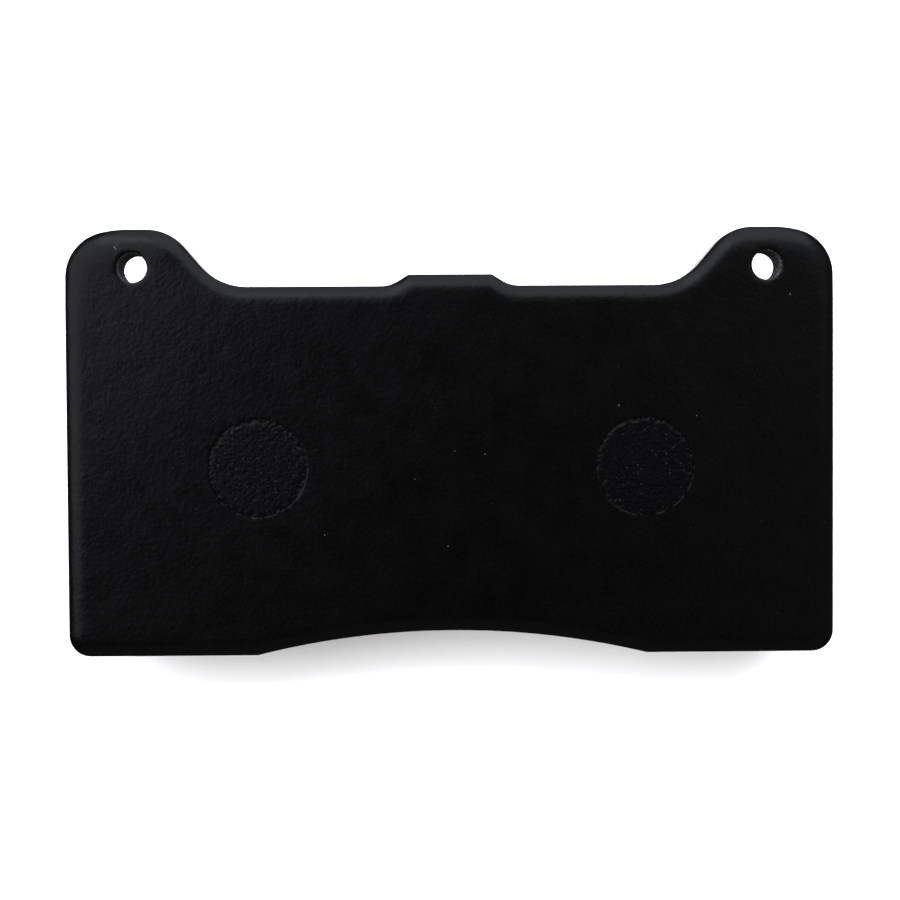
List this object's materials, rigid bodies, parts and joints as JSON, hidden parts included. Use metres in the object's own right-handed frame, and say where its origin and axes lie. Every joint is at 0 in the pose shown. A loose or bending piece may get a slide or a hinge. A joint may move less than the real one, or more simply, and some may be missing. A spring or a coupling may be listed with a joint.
{
  "type": "disc brake pad",
  "caption": "Disc brake pad for a fixed caliper: black steel backing plate with two pin-hole ears, a centre bump and a hollow lower arc, keyed to a slotted friction block.",
  "frame": {"origin": "under the middle of the pad's length and height, on the friction face", "axes": "+X along the pad, +Y away from the disc's axis, +Z from the disc towards the pistons, out of the back of the plate"},
  "size_m": [0.107, 0.0596, 0.0175],
  "materials": {
    "coated_steel": "satin",
    "adhesive": "matte",
    "underlayer_compound": "matte",
    "friction_compound": "matte"
  },
  "bodies": {
    "root": {"backing_plate": "coated_steel", "bond_film": "adhesive", "underlayer": "underlayer_compound", "friction_block": "friction_compound"}
  },
  "joints": []
}
